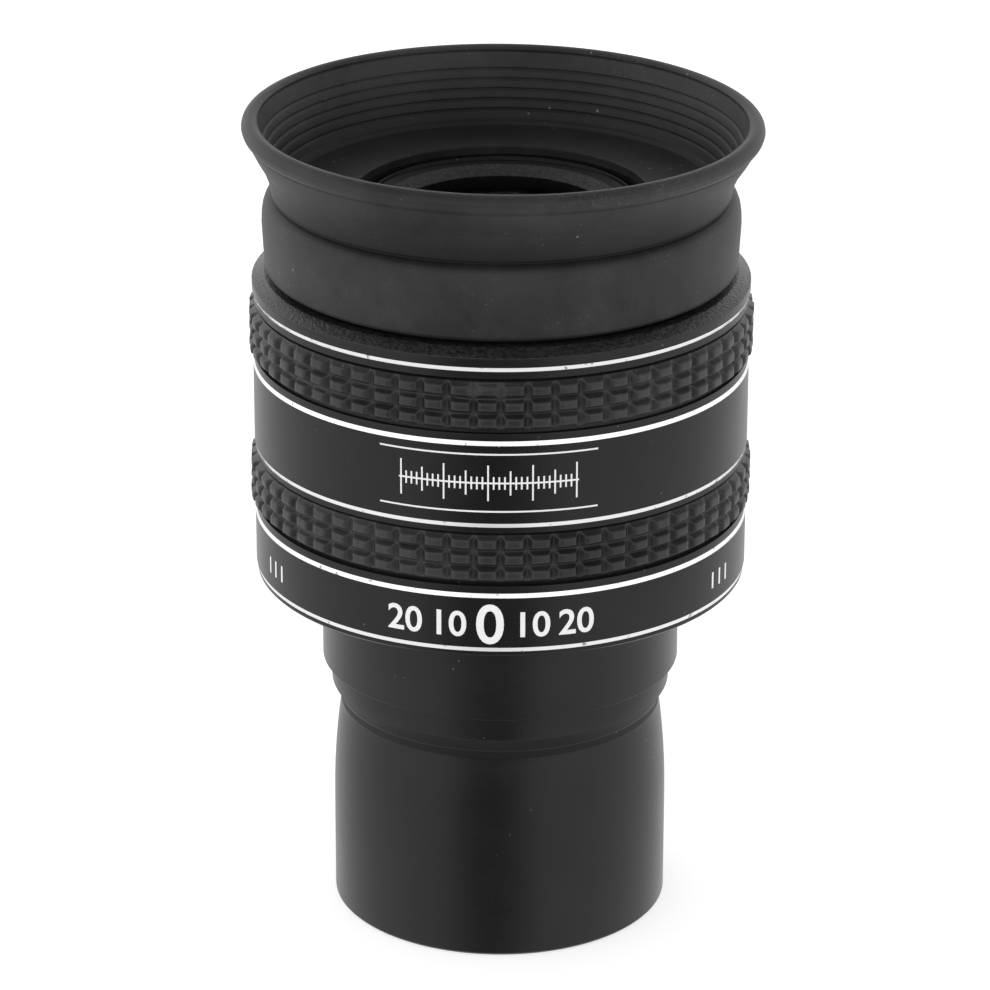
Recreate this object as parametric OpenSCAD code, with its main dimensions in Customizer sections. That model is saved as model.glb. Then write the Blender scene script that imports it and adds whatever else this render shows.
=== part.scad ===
// Planetary telescope eyepiece with a twist-up eyeguard.
// Millimetres. The origin is the centre of the barrel's mouth, +Z runs up the optical axis
// to the eye, and -Y is the marked front.

/* [Nosepiece] */
// Radius of the push-fit barrel
barrel_r = 15.85; // [15.7:0.01:15.88]
// Height of the straight part of the barrel
straight_z = 10.2; // [8:0.1:14]
// Radius at the waist of the safety taper
waist_r = 15.15; // [14.8:0.05:15.5]
// Height of the waist
waist_z = 20; // [19.7:0.1:20.5]
// Radius of the plain band over the waist
shoulder_r = 16; // [15.85:0.05:16.5]
// Height of the joint between barrel and collar
joint_z = 24.65; // [24:0.05:26]
// Crest radius of the filter thread in the mouth
filter_r = 13.92; // [13.8:0.01:14.2]
// Height of the top of the filter thread
filter_z = 6.2; // [4:0.1:7]

/* [Housing] */
// Radius of the collar over the barrel
collar_r = 16.83; // [16.5:0.01:18]
// Height of the housing's underside
housing_z = 33.75; // [33:0.05:34.1]
// Radius of the smooth bands
band_r = 23; // [22.8:0.05:23.4]
// Depth of the bright cut edges of the bands
edge_cut = 0.12; // [0.05:0.01:0.3]
// Height of the bright cut edges
edge_h = 0.5; // [0.4:0.05:0.8]
// Width of the narrow band beside each grip
narrow_h = 0.64; // [0.4:0.02:0.8]
// Height of the bottom of the lower band
lower_band_z = 34.78; // [34.5:0.01:35]
// Height of the lower band
lower_band_h = 4.74; // [4:0.01:5]
// Height of the bottom of the middle band
middle_band_z = 46.82; // [46.5:0.01:47.2]
// Height of the middle band
middle_band_h = 7.33; // [6.5:0.01:7.6]
// Height of the joint under the top ring
top_ring_z = 61.62; // [61.5:0.01:62]
// Height of the top ring's flange
top_ring_h = 1.48; // [1.2:0.01:1.6]
// Radius of the bore that the sleeve runs in
housing_bore_r = 20.6; // [20.4:0.05:20.8]

/* [Grips] */
// Outer radius of the rubber grips
grip_r = 23.42; // [23.2:0.01:23.8]
// Height of a grip
grip_h = 4.5; // [4:0.05:4.6]
// Number of pad columns round a grip
grip_columns = 60; // [48:1:72]
// Number of pad rows in a grip
grip_rows = 3; // [2:1:4]
// Depth of the grooves between the pads
pad_depth = 0.34; // [0.2:0.02:0.5]

/* [Lens barrel] */
// Outer radius of the lens barrel
lens_barrel_r = 17.9; // [17:0.05:18]
// Height of the lens barrel's top shoulder
lens_barrel_z = 67.3; // [66.5:0.1:67.4]
// Radius of the lenses in the main cell
cell_lens_r = 13.4; // [12.5:0.05:13.6]
// Radius of the eye lens
eye_lens_r = 11.4; // [10.5:0.05:11.6]
// Clear radius of the eye lens
eye_clear_r = 9.5; // [9:0.1:10]
// Radius of the negative lenses in the nosepiece
smyth_r = 11; // [10:0.05:11.5]
// Clear radius of the field stop
stop_r = 7.6; // [6.5:0.1:8.5]

/* [Eyeguard] */
// Rise of the eyeguard over its whole turn
rise = 9; // [7:0.5:9]
// Turn of the eyeguard in degrees
turn = 150; // [120:5:150]
// Outer radius of the metal sleeve
sleeve_r = 20.3; // [20.1:0.05:20.35]
// Outer radius of the rubber skirt
skirt_r = 22.05; // [21.8:0.05:22.3]
// Outer radius of the eyecup's rim
rim_r = 24; // [23:0.05:24.5]
// Height of the top of the rim
rim_z = 77.8; // [76:0.1:80]
// Number of fine ridges inside the cup
cup_ridges = 5; // [3:1:6]

/* [Hidden] */
$fn = 120;
gap = 0.05; // clearance of screwed and pressed parts
run_gap = 0.3; // clearance of parts that move past each other
skin = 0.02; // cement and seating clearance

narrow_r = band_r - edge_cut;
groove_r = band_r - 0.55;
lower_narrow_z = lower_band_z + lower_band_h + edge_h;
middle_bottom_z = middle_band_z - edge_h;
middle_top_z = middle_band_z + middle_band_h + edge_h;
lower_groove_z = lower_narrow_z + narrow_h;
lower_groove_top = middle_bottom_z - 0.52;
upper_groove_z = middle_top_z + narrow_h;
upper_groove_top = top_ring_z - edge_h - narrow_h;
lower_grip_z = lower_groove_z + 0.45;
upper_grip_z = upper_groove_z + 0.42;

collar_thread_r = 14.6;
nose_thread_top = joint_z + 5.6;
nose_bore_r = 12.2;
nose_stop_r = 9.4;
smyth_top = 19.6;
smyth_bottom = 12;
mouth_bore_r = 13;

shell_thread_r = 21.4;
shell_thread_top = lower_groove_z + 3.7;
base_floor_z = lower_groove_z - 0.26;
barrel_thread_r = 16.4;
barrel_seat_z = housing_z + 0.55;
barrel_thread_top = barrel_seat_z + 3.9;
ring_thread_r = 21.65;
ring_thread_z = top_ring_z - 2.8;

cell_r = cell_lens_r + 0.1;
cell_top = 63.6;
eye_seat_z = cell_top + 1;
eye_hole_r = 10.2;
neck_r = 12.9;
neck_top = 69.2;
bezel_r = 12.3;
bezel_top = 69.85;

sleeve_bore_r = lens_barrel_r + run_gap;
sleeve_z = 40.9;
plate_z = lens_barrel_z + run_gap;
plate_top = plate_z + 2;
plate_hole_r = neck_r + run_gap;
bead_z = 65.2;
bead_h = 1.2;
bead_depth = 0.6;
damping_z = 57;
damping_tube_r = 0.58;
damping_groove_r = 19.2;
damping_groove_h = 1.6;
skirt_z = 63.6;
crease_z = 70.5;
cup_floor_z = 70.55;
cup_hole_r = 13.4;

guide_count = 3;
guide_z = 52.2;
guide_phase = -60;
guide_head_r = 1.3;
guide_shank_r = 0.9;
slot_half = guide_head_r + 0.35;
slot_mid_r = (sleeve_bore_r + sleeve_r) / 2;
slot_steps = 14;

// lens surfaces: radii of curvature
eye_top_curve = 34;
doublet_inner_curve = 40;
doublet_bottom_curve = 34;
field_top_curve = 38;
smyth_top_curve = 40;
smyth_inner_curve = 32;
smyth_bottom_curve = 50;

eye_edge_top = 66.9;
doublet_top = cell_top - 0.1;
doublet_joint_z = 59.5;
crown_bottom = 57;
field_edge_top = 49;
field_bottom = 46.5;
smyth_joint_z = 15.2;
smyth_edge_bottom = 13.6;

// Depth of a spherical surface of the given radius of curvature at a height from its axis.
function sag(curve, r) = curve - sqrt(curve * curve - r * r);

// Radius of the safety taper at a height: an arc that is vertical where the straight part ends.
function taper_curve() =
    (pow(waist_z - straight_z, 2) + pow(barrel_r - waist_r, 2)) / (2 * (barrel_r - waist_r));
function taper_r(z) = barrel_r - sag(taper_curve(), z - straight_z);

module revolve(profile) {
    rotate_extrude() polygon(profile);
}

module ring(outer_r, inner_r, z, h) {
    translate([0, 0, z])
        difference() {
            cylinder(r = outer_r, h = h);
            translate([0, 0, -1]) cylinder(r = inner_r, h = h + 2);
        }
}

// Two notches for a pin spanner, across a ring's lower face.
module spanner_notches(outer_r, inner_r, z) {
    notch_w = 1.4;
    notch_h = 0.7;
    for (side = [-1, 1])
        translate([side * (outer_r + inner_r) / 2, 0, z])
            cube([outer_r - inner_r + 1, notch_w, 2 * notch_h], center = true);
}

// A lens edge between two heights, open to be shaped by spheres.
module lens_blank(r, z_low, z_high) {
    translate([0, 0, z_low]) cylinder(r = r, h = z_high - z_low);
}

module ball(curve, z) {
    translate([0, 0, z]) sphere(r = curve, $fn = 240);
}

module nosepiece_barrel() {
    taper_steps = 6;
    ridge_count = 5;
    ridge_pitch = 1;
    ridge_depth = 0.25;
    ridge_top = 11.6;
    shoulder_z = joint_z - 2.45;
    taper = [for (i = [0:taper_steps])
        let (z = straight_z + (waist_z - straight_z) * i / taper_steps) [taper_r(z), z]];
    ridges = [for (i = [0:ridge_count - 1])
        let (z = ridge_top - i * ridge_pitch)
            each [[mouth_bore_r, z],
                [mouth_bore_r + ridge_depth, z - ridge_pitch / 4],
                [mouth_bore_r, z - ridge_pitch / 2]]];
    color("#202022")
        revolve(concat(
            [[filter_r + 0.33, 0], [barrel_r - 0.3, 0], [barrel_r, 0.3]],
            taper,
            [[waist_r + 0.05, waist_z + 0.9],
                [shoulder_r - 0.1, shoulder_z - 0.1],
                [shoulder_r, shoulder_z + 0.1],
                [shoulder_r, joint_z],
                [collar_thread_r, joint_z],
                [collar_thread_r, nose_thread_top - 0.4],
                [collar_thread_r - 0.4, nose_thread_top],
                [nose_bore_r, nose_thread_top],
                [nose_bore_r, smyth_top + 1.4],
                [nose_stop_r, smyth_top + 1.4],
                [nose_stop_r, smyth_top],
                [smyth_r + gap, smyth_top],
                [smyth_r + gap, smyth_bottom],
                [mouth_bore_r, smyth_bottom]],
            ridges,
            [[mouth_bore_r, filter_z], [filter_r, filter_z], [filter_r, 0.35]]
        ));
}

module smyth_retaining_ring() {
    ring_h = smyth_edge_bottom - smyth_bottom - 0.15;
    inner_r = 9.6;
    color("#1a1a1c")
        difference() {
            ring(smyth_r, inner_r, smyth_bottom + 0.1, ring_h);
            spanner_notches(smyth_r, inner_r, smyth_bottom + 0.1);
        }
}

module smyth_front_lens() {
    color("#8fb0c8", 0.5)
        difference() {
            intersection() {
                lens_blank(smyth_r, smyth_edge_bottom, smyth_top);
                ball(smyth_inner_curve, smyth_joint_z - skin + sag(smyth_inner_curve, smyth_r) - smyth_inner_curve);
            }
            ball(smyth_bottom_curve, smyth_edge_bottom + sag(smyth_bottom_curve, smyth_r) - smyth_bottom_curve);
        }
}

module smyth_rear_lens() {
    color("#8fb0c8", 0.5)
        difference() {
            lens_blank(smyth_r, smyth_joint_z, smyth_top - skin);
            ball(smyth_inner_curve, smyth_joint_z + sag(smyth_inner_curve, smyth_r) - smyth_inner_curve);
            ball(smyth_top_curve, smyth_top - skin - sag(smyth_top_curve, smyth_r) + smyth_top_curve);
        }
}

module barrel_baffle() {
    baffle_z = nose_thread_top - 3;
    baffle_h = 1.2;
    hole_r = 7.2;
    color("#151516")
        revolve([
            [hole_r, baffle_z],
            [nose_bore_r - gap, baffle_z],
            [nose_bore_r - gap, baffle_z + baffle_h],
            [hole_r + 1, baffle_z + baffle_h],
            [hole_r, baffle_z + 0.2]
        ]);
}

module base_flange() {
    lip_r = 0.2;
    color("#202022")
        revolve([
            [collar_thread_r + gap, joint_z],
            [collar_r - 0.12, joint_z],
            [collar_r, joint_z + 0.12],
            [collar_r, housing_z],
            [narrow_r - lip_r, housing_z],
            [narrow_r, housing_z + lip_r],
            [narrow_r, lower_band_z - edge_h],
            [band_r, lower_band_z],
            [band_r, lower_band_z + lower_band_h],
            [narrow_r, lower_narrow_z],
            [narrow_r, lower_groove_z],
            [shell_thread_r, lower_groove_z],
            [shell_thread_r, shell_thread_top],
            [housing_bore_r + gap, shell_thread_top],
            [housing_bore_r + gap, base_floor_z],
            [lens_barrel_r + gap, base_floor_z],
            [lens_barrel_r + gap, barrel_thread_top],
            [barrel_thread_r + gap, barrel_thread_top],
            [barrel_thread_r + gap, barrel_seat_z],
            [nose_bore_r + 0.4, barrel_seat_z],
            [nose_bore_r + 0.4, nose_thread_top + 0.2],
            [collar_thread_r + gap, nose_thread_top + 0.2]
        ]);
}

module main_housing() {
    color("#202022")
        revolve([
            [shell_thread_r + gap, lower_groove_z],
            [groove_r, lower_groove_z],
            [groove_r, lower_groove_top],
            [narrow_r, lower_groove_top],
            [narrow_r, middle_bottom_z],
            [band_r, middle_band_z],
            [band_r, middle_band_z + middle_band_h],
            [narrow_r, middle_top_z],
            [narrow_r, upper_groove_z],
            [groove_r, upper_groove_z],
            [groove_r, upper_groove_top],
            [narrow_r, upper_groove_top],
            [narrow_r, top_ring_z - edge_h],
            [band_r + 0.05, top_ring_z],
            [ring_thread_r + gap, top_ring_z],
            [ring_thread_r + gap, ring_thread_z - 0.1],
            [housing_bore_r, ring_thread_z - 0.1],
            [housing_bore_r, shell_thread_top + 0.1],
            [shell_thread_r + gap, shell_thread_top + 0.1]
        ]);
}

// A stretched rubber band with square pads: rings of V grooves, then upright V notches.
module grip(z) {
    row_h = grip_h / grip_rows;
    notch_half = 0.3;
    edge = 0.3;
    notch_lift = 0.08; // centre of each notch cutter, outside the pads
    notch_side = (0.85 * pad_depth + notch_lift) * sqrt(2);
    rows = [for (i = [1:grip_rows - 1])
        let (groove_z = z + i * row_h)
            each [[grip_r, groove_z - notch_half],
                [grip_r - pad_depth, groove_z],
                [grip_r, groove_z + notch_half]]];
    difference() {
        revolve(concat(
            [[groove_r + skin, z], [grip_r - edge, z], [grip_r, z + edge]],
            rows,
            [[grip_r, z + grip_h - edge], [grip_r - edge, z + grip_h], [groove_r + skin, z + grip_h]]
        ));
        for (i = [0:grip_columns - 1])
            rotate(i * 360 / grip_columns)
                translate([grip_r + notch_lift, 0, z + grip_h / 2])
                    rotate(45)
                        cube([notch_side, notch_side, grip_h + 2], center = true);
    }
}

module lower_grip() {
    color("#2a2a2b") grip(lower_grip_z);
}

module upper_grip() {
    color("#2a2a2b") grip(upper_grip_z);
}

module top_retaining_ring() {
    bevel_z = top_ring_z + 0.83;
    top_z = top_ring_z + top_ring_h;
    color("#1b1b1d")
        revolve([
            [housing_bore_r + gap, ring_thread_z],
            [ring_thread_r, ring_thread_z],
            [ring_thread_r, top_ring_z],
            [band_r + 0.05, top_ring_z],
            [band_r + 0.05, bevel_z],
            [band_r - 1.1, top_z],
            [housing_bore_r + 0.35, top_z],
            [housing_bore_r + gap, top_z - 0.2]
        ]);
}

module lens_barrel() {
    screw_hole_r = guide_shank_r + skin;
    color("#232325")
        difference() {
            revolve([
                [barrel_thread_r - 0.3, barrel_seat_z],
                [barrel_thread_r, barrel_seat_z + 0.3],
                [barrel_thread_r, barrel_thread_top],
                [lens_barrel_r, barrel_thread_top],
                [lens_barrel_r, lens_barrel_z - 0.3],
                [lens_barrel_r - 0.3, lens_barrel_z],
                [neck_r, lens_barrel_z],
                [neck_r, neck_top],
                [eye_lens_r + gap, neck_top],
                [eye_lens_r + gap, eye_seat_z],
                [eye_hole_r, eye_seat_z],
                [eye_hole_r, cell_top],
                [cell_r, cell_top],
                [cell_r, barrel_seat_z]
            ]);
            at_guides()
                translate([0, 0, cell_r + 0.6]) cylinder(r = screw_hole_r, h = 10);
        }
}

// Places its child at each guide screw, with the child's +Z pointing out of the barrel.
module at_guides() {
    for (i = [0:guide_count - 1])
        rotate(guide_phase + i * 360 / guide_count)
            translate([0, 0, guide_z])
                rotate([0, 90, 0])
                    children();
}

module field_stop() {
    stop_z = 39.4;
    stop_h = 1.2;
    color("#151516")
        revolve([
            [stop_r, stop_z],
            [cell_r - gap, stop_z],
            [cell_r - gap, stop_z + stop_h],
            [stop_r + 1, stop_z + stop_h],
            [stop_r, stop_z + 0.2]
        ]);
}

module field_retaining_ring() {
    ring_h = 2.5;
    inner_r = 12;
    ring_z = field_bottom - ring_h;
    color("#1a1a1c")
        difference() {
            ring(cell_r - gap, inner_r, ring_z, ring_h);
            spanner_notches(cell_r - gap, inner_r, ring_z);
        }
}

module field_lens() {
    color("#8fb0c8", 0.5)
        intersection() {
            lens_blank(cell_lens_r, field_bottom, field_edge_top + sag(field_top_curve, cell_lens_r));
            ball(field_top_curve, field_edge_top + sag(field_top_curve, cell_lens_r) - field_top_curve);
        }
}

module lens_spacer() {
    inner_r = 11.9;
    low = field_edge_top + sag(field_top_curve, cell_lens_r) - sag(field_top_curve, inner_r) + skin;
    high = crown_bottom - sag(doublet_bottom_curve, cell_lens_r)
        + sag(doublet_bottom_curve, inner_r) - skin;
    color("#1a1a1c") ring(cell_lens_r, inner_r, low, high - low);
}

module doublet_crown() {
    vertex_top = doublet_joint_z + sag(doublet_inner_curve, cell_lens_r);
    vertex_bottom = crown_bottom - sag(doublet_bottom_curve, cell_lens_r);
    color("#8fb0c8", 0.5)
        intersection() {
            lens_blank(cell_lens_r, vertex_bottom, vertex_top);
            ball(doublet_inner_curve, vertex_top - skin - doublet_inner_curve);
            ball(doublet_bottom_curve, vertex_bottom + doublet_bottom_curve);
        }
}

module doublet_flint() {
    color("#8fb0c8", 0.5)
        difference() {
            lens_blank(cell_lens_r, doublet_joint_z, doublet_top);
            ball(doublet_inner_curve,
                doublet_joint_z + sag(doublet_inner_curve, cell_lens_r) - doublet_inner_curve);
        }
}

module eye_lens() {
    vertex = eye_edge_top + sag(eye_top_curve, eye_lens_r);
    color("#7d9fc4", 0.5)
        intersection() {
            lens_blank(eye_lens_r, eye_seat_z + skin, vertex);
            ball(eye_top_curve, vertex - eye_top_curve);
        }
}

module eye_lens_bezel() {
    vertex = eye_edge_top + sag(eye_top_curve, eye_lens_r);
    foot_z = vertex - sag(eye_top_curve, eye_clear_r) + skin;
    face_r = eye_clear_r + 1.3;
    color("#1d1d1f")
        revolve([
            [eye_clear_r, foot_z],
            [eye_lens_r, foot_z],
            [eye_lens_r, neck_top],
            [bezel_r, neck_top],
            [bezel_r, bezel_top - 0.1],
            [bezel_r - 0.1, bezel_top],
            [bezel_r - 0.3, bezel_top],
            [bezel_r - 0.4, bezel_top - 0.3],
            [face_r, bezel_top - 0.35],
            [eye_clear_r, bezel_top - 1.05]
        ]);
}

module guide_screws() {
    shank_start = cell_r + 0.7;
    head_start = lens_barrel_r + 0.05;
    head_end = sleeve_r - 0.2;
    driver_w = 0.5;
    driver_depth = 0.7;
    color("#8c8c90")
        at_guides()
            difference() {
                union() {
                    translate([0, 0, shank_start])
                        cylinder(r = guide_shank_r, h = head_start - shank_start + 0.1);
                    translate([0, 0, head_start])
                        cylinder(r = guide_head_r, h = head_end - head_start);
                }
                translate([0, 0, head_end])
                    cube([4 * guide_head_r, driver_w, 2 * driver_depth], center = true);
            }
}

module damping_ring() {
    color("#101010")
        rotate_extrude()
            translate([(lens_barrel_r + damping_groove_r) / 2, damping_z])
                circle(r = damping_tube_r, $fn = 32);
}

// One helical slot: stations along the path, each an upright slice with rounded ends at both ends.
module guide_slot() {
    arc = slot_mid_r * turn * PI / 180;
    slope = atan(rise / arc);
    path = arc / cos(slope);
    stations = concat(
        [for (b = [10:16:74]) [-slot_half * cos(b), slot_half * sin(b)]],
        [for (i = [0:slot_steps]) [path * i / slot_steps, slot_half]],
        [for (b = [106:16:170]) [path - slot_half * cos(b), slot_half * sin(b)]]
    );
    count = len(stations);
    inner = sleeve_bore_r - 1;
    outer = sleeve_r + 1;
    points = [for (s = stations)
        let (
            a = -s[0] * cos(slope) / slot_mid_r * 180 / PI,
            z = guide_z - s[0] * sin(slope),
            h = s[1] / cos(slope)
        )
            each [[inner * cos(a), inner * sin(a), z - h],
                [outer * cos(a), outer * sin(a), z - h],
                [outer * cos(a), outer * sin(a), z + h],
                [inner * cos(a), inner * sin(a), z + h]]];
    sides = [for (i = [0:count - 2])
        for (k = [0:3])
            let (
                p = 4 * i + k,
                q = 4 * i + (k + 1) % 4
            )
                each [[p, q + 4, q], [p, p + 4, q + 4]]];
    last = 4 * (count - 1);
    caps = [[0, 1, 2], [0, 2, 3], [last + 2, last + 1, last], [last + 3, last + 2, last]];
    polyhedron(points = points, faces = concat(sides, caps));
}

module eyeguard_sleeve() {
    color("#232325")
        difference() {
            revolve([
                [sleeve_bore_r, sleeve_z],
                [sleeve_r, sleeve_z],
                [sleeve_r, bead_z],
                [sleeve_r - bead_depth, bead_z],
                [sleeve_r - bead_depth, bead_z + bead_h],
                [sleeve_r, bead_z + bead_h],
                [sleeve_r, plate_top - 0.3],
                [sleeve_r - 0.3, plate_top],
                [plate_hole_r, plate_top],
                [plate_hole_r, plate_z],
                [sleeve_bore_r, plate_z],
                [sleeve_bore_r, damping_z + damping_groove_h / 2],
                [damping_groove_r, damping_z + damping_groove_h / 2],
                [damping_groove_r, damping_z - damping_groove_h / 2],
                [sleeve_bore_r, damping_z - damping_groove_h / 2]
            ]);
            for (i = [0:guide_count - 1])
                rotate(guide_phase + i * 360 / guide_count)
                    guide_slot();
        }
}

module eyecup() {
    cup_r = sleeve_r + gap;
    wall_top = [rim_r - 1.4, rim_z - 0.6];
    wall_low = [20.05, cup_floor_z + 0.5];
    ridge_depth = 0.13;
    ridge_pitch = 0.15;
    function on_wall(t) = wall_low + (wall_top - wall_low) * t;
    skirt = [
        [skirt_r - 0.4, skirt_z],
        [skirt_r - 0.22, skirt_z + 0.3],
        [skirt_r - 0.1, skirt_z + 2.4],
        [skirt_r, crease_z - 2.7],
        [skirt_r - 0.03, crease_z - 1.8],
        [skirt_r - 0.12, crease_z - 1.15],
        [skirt_r - 0.28, crease_z - 0.68],
        [skirt_r - 0.5, crease_z - 0.33],
        [skirt_r - 0.8, crease_z - 0.1]
    ];
    crease = [
        [skirt_r - 1.12, crease_z + 0.02],
        [skirt_r - 1.12, crease_z + 0.14],
        [skirt_r - 0.9, crease_z + 0.24]
    ];
    cone = [
        [skirt_r - 0.8, crease_z + 0.8],
        [skirt_r - 0.6, crease_z + 1.7],
        [skirt_r - 0.1, crease_z + 2.9],
        [rim_r - 1.3, crease_z + 4.1],
        [rim_r - 0.62, rim_z - 1.95]
    ];
    lip = [
        [rim_r - 0.68, rim_z - 1.83],
        [rim_r - 0.46, rim_z - 1.74],
        [rim_r - 0.15, rim_z - 1.35],
        [rim_r, rim_z - 0.9],
        [rim_r - 0.08, rim_z - 0.52],
        [rim_r - 0.3, rim_z - 0.2],
        [rim_r - 0.62, rim_z - 0.03],
        [rim_r - 0.9, rim_z],
        [rim_r - 1.25, rim_z - 0.1],
        [rim_r - 1.5, rim_z - 0.3]
    ];
    ridges = [for (i = [cup_ridges:-1:1])
        let (t = i * ridge_pitch + 0.02)
            each [on_wall(t), on_wall(t - 0.025) + [ridge_depth, 0], on_wall(t - 0.05)]];
    floor_edge = [
        wall_low,
        [wall_low[0] - 0.22, cup_floor_z + 0.38],
        [wall_low[0] - 0.4, cup_floor_z],
        [cup_hole_r + 0.14, cup_floor_z],
        [cup_hole_r, cup_floor_z - 0.14],
        [cup_hole_r, plate_top + skin],
        [cup_r, plate_top + skin]
    ];
    bead = [
        [cup_r, bead_z + bead_h - gap],
        [cup_r - bead_depth, bead_z + bead_h - 2 * gap],
        [cup_r - bead_depth, bead_z + 2 * gap],
        [cup_r, bead_z + gap]
    ];
    color("#2c2c2d")
        revolve(concat([[cup_r, skirt_z]], skirt, crease, cone, lip, [wall_top], ridges, floor_edge, bead));
}

nosepiece_barrel();
smyth_retaining_ring();
smyth_front_lens();
smyth_rear_lens();
barrel_baffle();
base_flange();
main_housing();
lower_grip();
upper_grip();
top_retaining_ring();
lens_barrel();
field_stop();
field_retaining_ring();
field_lens();
lens_spacer();
doublet_crown();
doublet_flint();
eye_lens();
eye_lens_bezel();
guide_screws();
damping_ring();
eyeguard_sleeve();
eyecup();
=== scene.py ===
import math
import random

import bmesh
import bpy
from mathutils import Matrix, Vector, noise


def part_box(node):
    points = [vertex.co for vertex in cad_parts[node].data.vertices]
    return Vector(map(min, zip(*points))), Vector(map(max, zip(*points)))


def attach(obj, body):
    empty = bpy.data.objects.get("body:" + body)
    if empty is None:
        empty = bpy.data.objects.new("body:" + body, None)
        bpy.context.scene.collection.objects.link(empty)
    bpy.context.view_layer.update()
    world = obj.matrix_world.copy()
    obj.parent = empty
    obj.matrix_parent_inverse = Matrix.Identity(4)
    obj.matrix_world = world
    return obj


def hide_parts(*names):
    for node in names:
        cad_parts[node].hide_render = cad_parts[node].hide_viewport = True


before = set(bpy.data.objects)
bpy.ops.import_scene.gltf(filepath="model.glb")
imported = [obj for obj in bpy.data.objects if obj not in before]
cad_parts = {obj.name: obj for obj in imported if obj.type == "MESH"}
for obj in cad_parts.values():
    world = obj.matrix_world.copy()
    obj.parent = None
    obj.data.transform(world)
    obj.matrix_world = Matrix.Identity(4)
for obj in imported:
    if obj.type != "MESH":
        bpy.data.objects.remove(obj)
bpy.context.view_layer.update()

MM = 0.001
SEGMENTS = 288          # steps round a turned piece
OUTER_WALL_R = 22.5     # mm: everything outside this radius is the housing's outer wall
SAME_WALL = 0.02        # mm: outline points closer in radius than this lie on one wall
CREASE_DROP = 7.3       # mm from the eyecup's crown down to its crease
INK_LIFT = 0.012        # mm that the printed ink stands off the metal

CAMERA_LENS = 176.7     # mm on a 36 mm sensor
CAMERA_PLACE = (0, -0.4242, 0.2097)
CAMERA_PITCH, CAMERA_YAW, CAMERA_ROLL = 21.76, -0.072, 0.16     # degrees

TENT_STRENGTH = 1.2
TENT_LEVELS = ((0.0, 0.7), (0.1, 0.75), (0.2, 0.78), (0.42, 0.86),
               (0.55, 1.15), (0.75, 0.9), (0.9, 0.2), (1.0, 0.16))   # (height from 0 below to 1 above, level)
CARD_DIRECTION = (-0.08, -0.92, -0.38)
LAMP_DIRECTION = (0.0, 0.27, 0.963)


# ---------------------------------------------------------------- camera, light, floor

def aim(location, pitch, yaw, roll):
    """Camera rotation that looks down by pitch, with yaw about Z and roll about the view."""
    forward = Vector((math.sin(yaw) * math.cos(pitch), math.cos(yaw) * math.cos(pitch), -math.sin(pitch)))
    right = Vector((math.cos(yaw), -math.sin(yaw), 0))
    up = right.cross(forward)
    right_rolled = right * math.cos(roll) + up * math.sin(roll)
    up_rolled = up * math.cos(roll) - right * math.sin(roll)
    turn = Matrix((right_rolled, up_rolled, -forward)).transposed()
    return Matrix.Translation(location) @ turn.to_4x4()


def make_camera():
    """A long lens that looks down at the front of the eyepiece."""
    data = bpy.data.cameras.new("photo_camera")
    data.lens = CAMERA_LENS
    data.sensor_width = 36
    data.clip_start = 0.01
    data.clip_end = 20
    camera = bpy.data.objects.new("photo_camera", data)
    bpy.context.scene.collection.objects.link(camera)
    camera.matrix_world = aim(CAMERA_PLACE, math.radians(CAMERA_PITCH),
                              math.radians(CAMERA_YAW), math.radians(CAMERA_ROLL))
    bpy.context.scene.camera = camera


def make_world():
    """A white light tent, dimmer overhead and below, and a little brighter high on the left.

    A dark card stands low in front of the object, and a small lamp hangs over it."""
    world = bpy.data.worlds.new("light_tent")
    bpy.context.scene.world = world
    world.use_nodes = True
    tree = world.node_tree
    tree.nodes.clear()
    put = Wiring(tree)
    direction = put("ShaderNodeTexCoord").outputs["Generated"]
    axis = put("ShaderNodeSeparateXYZ", Vector=direction)
    card = put("ShaderNodeVectorMath")
    card.operation = "DOT_PRODUCT"
    put.tree.links.new(direction, card.inputs[0])
    card.inputs[1].default_value = CARD_DIRECTION
    in_front = put.between(card.outputs["Value"], 0.86, 0.985, 1.0, 0.12)
    by_height = tree.nodes.new("ShaderNodeValToRGB")
    put.tree.links.new(put.math("MULTIPLY_ADD", axis.outputs["Z"], 0.5, 0.5), by_height.inputs["Fac"])
    stops = by_height.color_ramp.elements
    while len(stops) < len(TENT_LEVELS):
        stops.new(0.5)
    for stop, (place, value) in zip(stops, TENT_LEVELS):
        stop.position = place
        stop.color = (value, value, value, 1)
    lamp = put("ShaderNodeVectorMath")
    lamp.operation = "DOT_PRODUCT"
    put.tree.links.new(direction, lamp.inputs[0])
    lamp.inputs[1].default_value = LAMP_DIRECTION
    from_lamp = put.between(lamp.outputs["Value"], 0.96, 0.99, 0.0, 0.9)
    level = put.math("MULTIPLY_ADD", in_front, by_height.outputs["Color"], from_lamp)
    lean = put.between(axis.outputs["Z"], 0.05, 0.45, 0.0, -0.25)
    level = put.math("MULTIPLY", level, put.math("MULTIPLY_ADD", axis.outputs["X"], lean, 1.0))
    shade = tree.nodes.new("ShaderNodeCombineColor")
    for socket in shade.inputs:
        tree.links.new(level, socket)
    background = put("ShaderNodeBackground", Color=shade.outputs["Color"])
    background.inputs["Strength"].default_value = TENT_STRENGTH
    out = put("ShaderNodeOutputWorld")
    tree.links.new(background.outputs[0], out.inputs["Surface"])


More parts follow.
